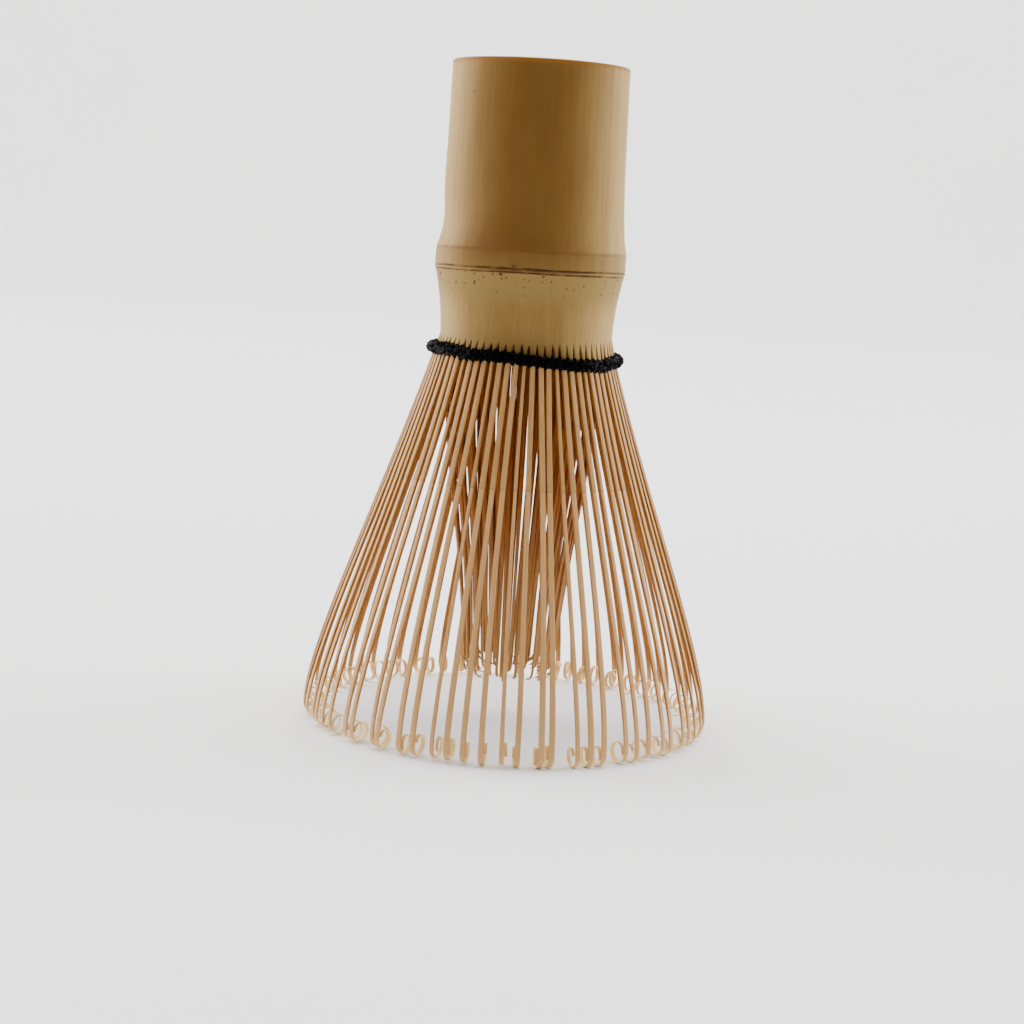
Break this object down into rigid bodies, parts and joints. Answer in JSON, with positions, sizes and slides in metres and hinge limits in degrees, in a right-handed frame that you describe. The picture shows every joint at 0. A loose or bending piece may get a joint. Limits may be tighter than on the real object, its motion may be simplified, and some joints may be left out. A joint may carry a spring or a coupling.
{
  "type": "bamboo tea whisk",
  "caption": "Bamboo tea whisk: a hollow culm handle with a node, a black thread binding, and a flared ring of curled tines round an inner bundle. It stands on its tips.",
  "frame": {"origin": "on the whisk's axis, at the height of the outer tines' lowest tips, where it stands", "axes": "+Z along the axis from the tips up to the handle's cut end; the camera of the reference looks along +Y"},
  "size_m": [0.0628, 0.0628, 0.1],
  "materials": {
    "bamboo_skin": "smooth satin bamboo skin with fine lengthwise fibres, brown at the node, small dark specks below it",
    "bamboo_inner": "matt split bamboo, warmer and darker than the skin",
    "black_thread": "matt black twisted cotton thread"
  },
  "bodies": {
    "handle": {"handle": "bamboo_skin", "binding_thread": "black_thread", "binding_thread_inside": "black_thread"},
    "outer_tines_01": {"outer_tines_01": "bamboo_skin"},
    "outer_tines_02": {"outer_tines_02": "bamboo_skin"},
    "outer_tines_03": {"outer_tines_03": "bamboo_skin"},
    "outer_tines_04": {"outer_tines_04": "bamboo_skin"},
    "outer_tines_05": {"outer_tines_05": "bamboo_skin"},
    "outer_tines_06": {"outer_tines_06": "bamboo_skin"},
    "outer_tines_07": {"outer_tines_07": "bamboo_skin"},
    "outer_tines_08": {"outer_tines_08": "bamboo_skin"},
    "outer_tines_09": {"outer_tines_09": "bamboo_skin"},
    "outer_tines_10": {"outer_tines_10": "bamboo_skin"},
    "outer_tines_11": {"outer_tines_11": "bamboo_skin"},
    "outer_tines_12": {"outer_tines_12": "bamboo_skin"},
    "outer_tines_13": {"outer_tines_13": "bamboo_skin"},
    "outer_tines_14": {"outer_tines_14": "bamboo_skin"},
    "outer_tines_15": {"outer_tines_15": "bamboo_skin"},
    "outer_tines_16": {"outer_tines_16": "bamboo_skin"},
    "outer_tines_17": {"outer_tines_17": "bamboo_skin"},
    "outer_tines_18": {"outer_tines_18": "bamboo_skin"},
    "inner_tines_01": {"inner_tines_01": "bamboo_inner"},
    "inner_tines_02": {"inner_tines_02": "bamboo_inner"},
    "inner_tines_03": {"inner_tines_03": "bamboo_inner"},
    "inner_tines_04": {"inner_tines_04": "bamboo_inner"},
    "inner_tines_05": {"inner_tines_05": "bamboo_inner"},
    "inner_tines_06": {"inner_tines_06": "bamboo_inner"},
    "inner_tines_07": {"inner_tines_07": "bamboo_inner"},
    "inner_tines_08": {"inner_tines_08": "bamboo_inner"},
    "inner_tines_09": {"inner_tines_09": "bamboo_inner"},
    "inner_tines_10": {"inner_tines_10": "bamboo_inner"},
    "inner_tines_11": {"inner_tines_11": "bamboo_inner"},
    "inner_tines_12": {"inner_tines_12": "bamboo_inner"},
    "inner_tines_13": {"inner_tines_13": "bamboo_inner"},
    "inner_tines_14": {"inner_tines_14": "bamboo_inner"},
    "inner_tines_15": {"inner_tines_15": "bamboo_inner"},
    "inner_tines_16": {"inner_tines_16": "bamboo_inner"},
    "inner_tines_17": {"inner_tines_17": "bamboo_inner"},
    "inner_tines_18": {"inner_tines_18": "bamboo_inner"}
  },
  "joints": [
    {"name": "outer_flex_01", "type": "hinge", "parent": "handle", "child": "outer_tines_01", "pos_m": [0.01299, 0.00057, 0.0567], "axis": [0.0436, -0.999, 0], "range_deg": [-4, 6], "stiffness_Nm_per_rad": 0.025},
    {"name": "outer_flex_02", "type": "hinge", "parent": "handle", "child": "outer_tines_02", "pos_m": [0.01201, 0.00498, 0.0567], "axis": [0.3827, -0.9239, 0], "range_deg": [-4, 6], "stiffness_Nm_per_rad": 0.025},
    {"name": "outer_flex_03", "type": "hinge", "parent": "handle", "child": "outer_tines_03", "pos_m": [0.00958, 0.00878, 0.0567], "axis": [0.6756, -0.7373, 0], "range_deg": [-4, 6], "stiffness_Nm_per_rad": 0.025},
    {"name": "outer_flex_04", "type": "hinge", "parent": "handle", "child": "outer_tines_04", "pos_m": [0.006, 0.01153, 0.0567], "axis": [0.887, -0.4617, 0], "range_deg": [-4, 6], "stiffness_Nm_per_rad": 0.025},
    {"name": "outer_flex_05", "type": "hinge", "parent": "handle", "child": "outer_tines_05", "pos_m": [0.0017, 0.01289, 0.0567], "axis": [0.9914, -0.1305, 0], "range_deg": [-4, 6], "stiffness_Nm_per_rad": 0.025},
    {"name": "outer_flex_06", "type": "hinge", "parent": "handle", "child": "outer_tines_06", "pos_m": [-0.00281, 0.01269, 0.0567], "axis": [0.9763, 0.2164, 0], "range_deg": [-4, 6], "stiffness_Nm_per_rad": 0.025},
    {"name": "outer_flex_07", "type": "hinge", "parent": "handle", "child": "outer_tines_07", "pos_m": [-0.00698, 0.01096, 0.0567], "axis": [0.8434, 0.5373, 0], "range_deg": [-4, 6], "stiffness_Nm_per_rad": 0.025},
    {"name": "outer_flex_08", "type": "hinge", "parent": "handle", "child": "outer_tines_08", "pos_m": [-0.01031, 0.00791, 0.0567], "axis": [0.6088, 0.7934, 0], "range_deg": [-4, 6], "stiffness_Nm_per_rad": 0.025},
    {"name": "outer_flex_09", "type": "hinge", "parent": "handle", "child": "outer_tines_09", "pos_m": [-0.0124, 0.00391, 0.0567], "axis": [0.3007, 0.9537, 0], "range_deg": [-4, 6], "stiffness_Nm_per_rad": 0.025},
    {"name": "outer_flex_10", "type": "hinge", "parent": "handle", "child": "outer_tines_10", "pos_m": [-0.01299, -0.00057, 0.0567], "axis": [-0.0436, 0.999, 0], "range_deg": [-4, 6], "stiffness_Nm_per_rad": 0.025},
    {"name": "outer_flex_11", "type": "hinge", "parent": "handle", "child": "outer_tines_11", "pos_m": [-0.01201, -0.00498, 0.0567], "axis": [-0.3827, 0.9239, 0], "range_deg": [-4, 6], "stiffness_Nm_per_rad": 0.025},
    {"name": "outer_flex_12", "type": "hinge", "parent": "handle", "child": "outer_tines_12", "pos_m": [-0.00958, -0.00878, 0.0567], "axis": [-0.6756, 0.7373, 0], "range_deg": [-4, 6], "stiffness_Nm_per_rad": 0.025},
    {"name": "outer_flex_13", "type": "hinge", "parent": "handle", "child": "outer_tines_13", "pos_m": [-0.006, -0.01153, 0.0567], "axis": [-0.887, 0.4617, 0], "range_deg": [-4, 6], "stiffness_Nm_per_rad": 0.025},
    {"name": "outer_flex_14", "type": "hinge", "parent": "handle", "child": "outer_tines_14", "pos_m": [-0.0017, -0.01289, 0.0567], "axis": [-0.9914, 0.1305, 0], "range_deg": [-4, 6], "stiffness_Nm_per_rad": 0.025},
    {"name": "outer_flex_15", "type": "hinge", "parent": "handle", "child": "outer_tines_15", "pos_m": [0.00281, -0.01269, 0.0567], "axis": [-0.9763, -0.2164, 0], "range_deg": [-4, 6], "stiffness_Nm_per_rad": 0.025},
    {"name": "outer_flex_16", "type": "hinge", "parent": "handle", "child": "outer_tines_16", "pos_m": [0.00698, -0.01096, 0.0567], "axis": [-0.8434, -0.5373, 0], "range_deg": [-4, 6], "stiffness_Nm_per_rad": 0.025},
    {"name": "outer_flex_17", "type": "hinge", "parent": "handle", "child": "outer_tines_17", "pos_m": [0.01031, -0.00791, 0.0567], "axis": [-0.6088, -0.7934, 0], "range_deg": [-4, 6], "stiffness_Nm_per_rad": 0.025},
    {"name": "outer_flex_18", "type": "hinge", "parent": "handle", "child": "outer_tines_18", "pos_m": [0.0124, -0.00391, 0.0567], "axis": [-0.3007, -0.9537, 0], "range_deg": [-4, 6], "stiffness_Nm_per_rad": 0.025},
    {"name": "inner_flex_01", "type": "hinge", "parent": "handle", "child": "inner_tines_01", "pos_m": [0.01084, 0.00047, 0.0567], "axis": [0.0436, -0.999, 0], "range_deg": [0, 4], "stiffness_Nm_per_rad": 0.004},
    {"name": "inner_flex_02", "type": "hinge", "parent": "handle", "child": "inner_tines_02", "pos_m": [0.01002, 0.00415, 0.0567], "axis": [0.3827, -0.9239, 0], "range_deg": [0, 4], "stiffness_Nm_per_rad": 0.004},
    {"name": "inner_flex_03", "type": "hinge", "parent": "handle", "child": "inner_tines_03", "pos_m": [0.008, 0.00733, 0.0567], "axis": [0.6756, -0.7373, 0], "range_deg": [0, 4], "stiffness_Nm_per_rad": 0.004},
    {"name": "inner_flex_04", "type": "hinge", "parent": "handle", "child": "inner_tines_04", "pos_m": [0.00501, 0.00962, 0.0567], "axis": [0.887, -0.4617, 0], "range_deg": [0, 4], "stiffness_Nm_per_rad": 0.004},
    {"name": "inner_flex_05", "type": "hinge", "parent": "handle", "child": "inner_tines_05", "pos_m": [0.00142, 0.01076, 0.0567], "axis": [0.9914, -0.1305, 0], "range_deg": [0, 4], "stiffness_Nm_per_rad": 0.004},
    {"name": "inner_flex_06", "type": "hinge", "parent": "handle", "child": "inner_tines_06", "pos_m": [-0.00235, 0.01059, 0.0567], "axis": [0.9763, 0.2164, 0], "range_deg": [0, 4], "stiffness_Nm_per_rad": 0.004},
    {"name": "inner_flex_07", "type": "hinge", "parent": "handle", "child": "inner_tines_07", "pos_m": [-0.00583, 0.00915, 0.0567], "axis": [0.8434, 0.5373, 0], "range_deg": [0, 4], "stiffness_Nm_per_rad": 0.004},
    {"name": "inner_flex_08", "type": "hinge", "parent": "handle", "child": "inner_tines_08", "pos_m": [-0.00861, 0.0066, 0.0567], "axis": [0.6088, 0.7934, 0], "range_deg": [0, 4], "stiffness_Nm_per_rad": 0.004},
    {"name": "inner_flex_09", "type": "hinge", "parent": "handle", "child": "inner_tines_09", "pos_m": [-0.01035, 0.00326, 0.0567], "axis": [0.3007, 0.9537, 0], "range_deg": [0, 4], "stiffness_Nm_per_rad": 0.004},
    {"name": "inner_flex_10", "type": "hinge", "parent": "handle", "child": "inner_tines_10", "pos_m": [-0.01084, -0.00047, 0.0567], "axis": [-0.0436, 0.999, 0], "range_deg": [0, 4], "stiffness_Nm_per_rad": 0.004},
    {"name": "inner_flex_11", "type": "hinge", "parent": "handle", "child": "inner_tines_11", "pos_m": [-0.01002, -0.00415, 0.0567], "axis": [-0.3827, 0.9239, 0], "range_deg": [0, 4], "stiffness_Nm_per_rad": 0.004},
    {"name": "inner_flex_12", "type": "hinge", "parent": "handle", "child": "inner_tines_12", "pos_m": [-0.008, -0.00733, 0.0567], "axis": [-0.6756, 0.7373, 0], "range_deg": [0, 4], "stiffness_Nm_per_rad": 0.004},
    {"name": "inner_flex_13", "type": "hinge", "parent": "handle", "child": "inner_tines_13", "pos_m": [-0.00501, -0.00962, 0.0567], "axis": [-0.887, 0.4617, 0], "range_deg": [0, 4], "stiffness_Nm_per_rad": 0.004},
    {"name": "inner_flex_14", "type": "hinge", "parent": "handle", "child": "inner_tines_14", "pos_m": [-0.00142, -0.01076, 0.0567], "axis": [-0.9914, 0.1305, 0], "range_deg": [0, 4], "stiffness_Nm_per_rad": 0.004},
    {"name": "inner_flex_15", "type": "hinge", "parent": "handle", "child": "inner_tines_15", "pos_m": [0.00235, -0.01059, 0.0567], "axis": [-0.9763, -0.2164, 0], "range_deg": [0, 4], "stiffness_Nm_per_rad": 0.004},
    {"name": "inner_flex_16", "type": "hinge", "parent": "handle", "child": "inner_tines_16", "pos_m": [0.00583, -0.00915, 0.0567], "axis": [-0.8434, -0.5373, 0], "range_deg": [0, 4], "stiffness_Nm_per_rad": 0.004},
    {"name": "inner_flex_17", "type": "hinge", "parent": "handle", "child": "inner_tines_17", "pos_m": [0.00861, -0.0066, 0.0567], "axis": [-0.6088, -0.7934, 0], "range_deg": [0, 4], "stiffness_Nm_per_rad": 0.004},
    {"name": "inner_flex_18", "type": "hinge", "parent": "handle", "child": "inner_tines_18", "pos_m": [0.01035, -0.00326, 0.0567], "axis": [-0.3007, -0.9537, 0], "range_deg": [0, 4], "stiffness_Nm_per_rad": 0.004}
  ],
  "couplings": [
    {"joint": "outer_flex_02", "follows": "outer_flex_01", "ratio": 1},
    {"joint": "outer_flex_03", "follows": "outer_flex_01", "ratio": 1},
    {"joint": "outer_flex_04", "follows": "outer_flex_01", "ratio": 1},
    {"joint": "outer_flex_05", "follows": "outer_flex_01", "ratio": 1},
    {"joint": "outer_flex_06", "follows": "outer_flex_01", "ratio": 1},
    {"joint": "outer_flex_07", "follows": "outer_flex_01", "ratio": 1},
    {"joint": "outer_flex_08", "follows": "outer_flex_01", "ratio": 1},
    {"joint": "outer_flex_09", "follows": "outer_flex_01", "ratio": 1},
    {"joint": "outer_flex_10", "follows": "outer_flex_01", "ratio": 1},
    {"joint": "outer_flex_11", "follows": "outer_flex_01", "ratio": 1},
    {"joint": "outer_flex_12", "follows": "outer_flex_01", "ratio": 1},
    {"joint": "outer_flex_13", "follows": "outer_flex_01", "ratio": 1},
    {"joint": "outer_flex_14", "follows": "outer_flex_01", "ratio": 1},
    {"joint": "outer_flex_15", "follows": "outer_flex_01", "ratio": 1},
    {"joint": "outer_flex_16", "follows": "outer_flex_01", "ratio": 1},
    {"joint": "outer_flex_17", "follows": "outer_flex_01", "ratio": 1},
    {"joint": "outer_flex_18", "follows": "outer_flex_01", "ratio": 1},
    {"joint": "inner_flex_02", "follows": "inner_flex_01", "ratio": 1},
    {"joint": "inner_flex_03", "follows": "inner_flex_01", "ratio": 1},
    {"joint": "inner_flex_04", "follows": "inner_flex_01", "ratio": 1},
    {"joint": "inner_flex_05", "follows": "inner_flex_01", "ratio": 1},
    {"joint": "inner_flex_06", "follows": "inner_flex_01", "ratio": 1},
    {"joint": "inner_flex_07", "follows": "inner_flex_01", "ratio": 1},
    {"joint": "inner_flex_08", "follows": "inner_flex_01", "ratio": 1},
    {"joint": "inner_flex_09", "follows": "inner_flex_01", "ratio": 1},
    {"joint": "inner_flex_10", "follows": "inner_flex_01", "ratio": 1},
    {"joint": "inner_flex_11", "follows": "inner_flex_01", "ratio": 1},
    {"joint": "inner_flex_12", "follows": "inner_flex_01", "ratio": 1},
    {"joint": "inner_flex_13", "follows": "inner_flex_01", "ratio": 1},
    {"joint": "inner_flex_14", "follows": "inner_flex_01", "ratio": 1},
    {"joint": "inner_flex_15", "follows": "inner_flex_01", "ratio": 1},
    {"joint": "inner_flex_16", "follows": "inner_flex_01", "ratio": 1},
    {"joint": "inner_flex_17", "follows": "inner_flex_01", "ratio": 1},
    {"joint": "inner_flex_18", "follows": "inner_flex_01", "ratio": 1}
  ]
}
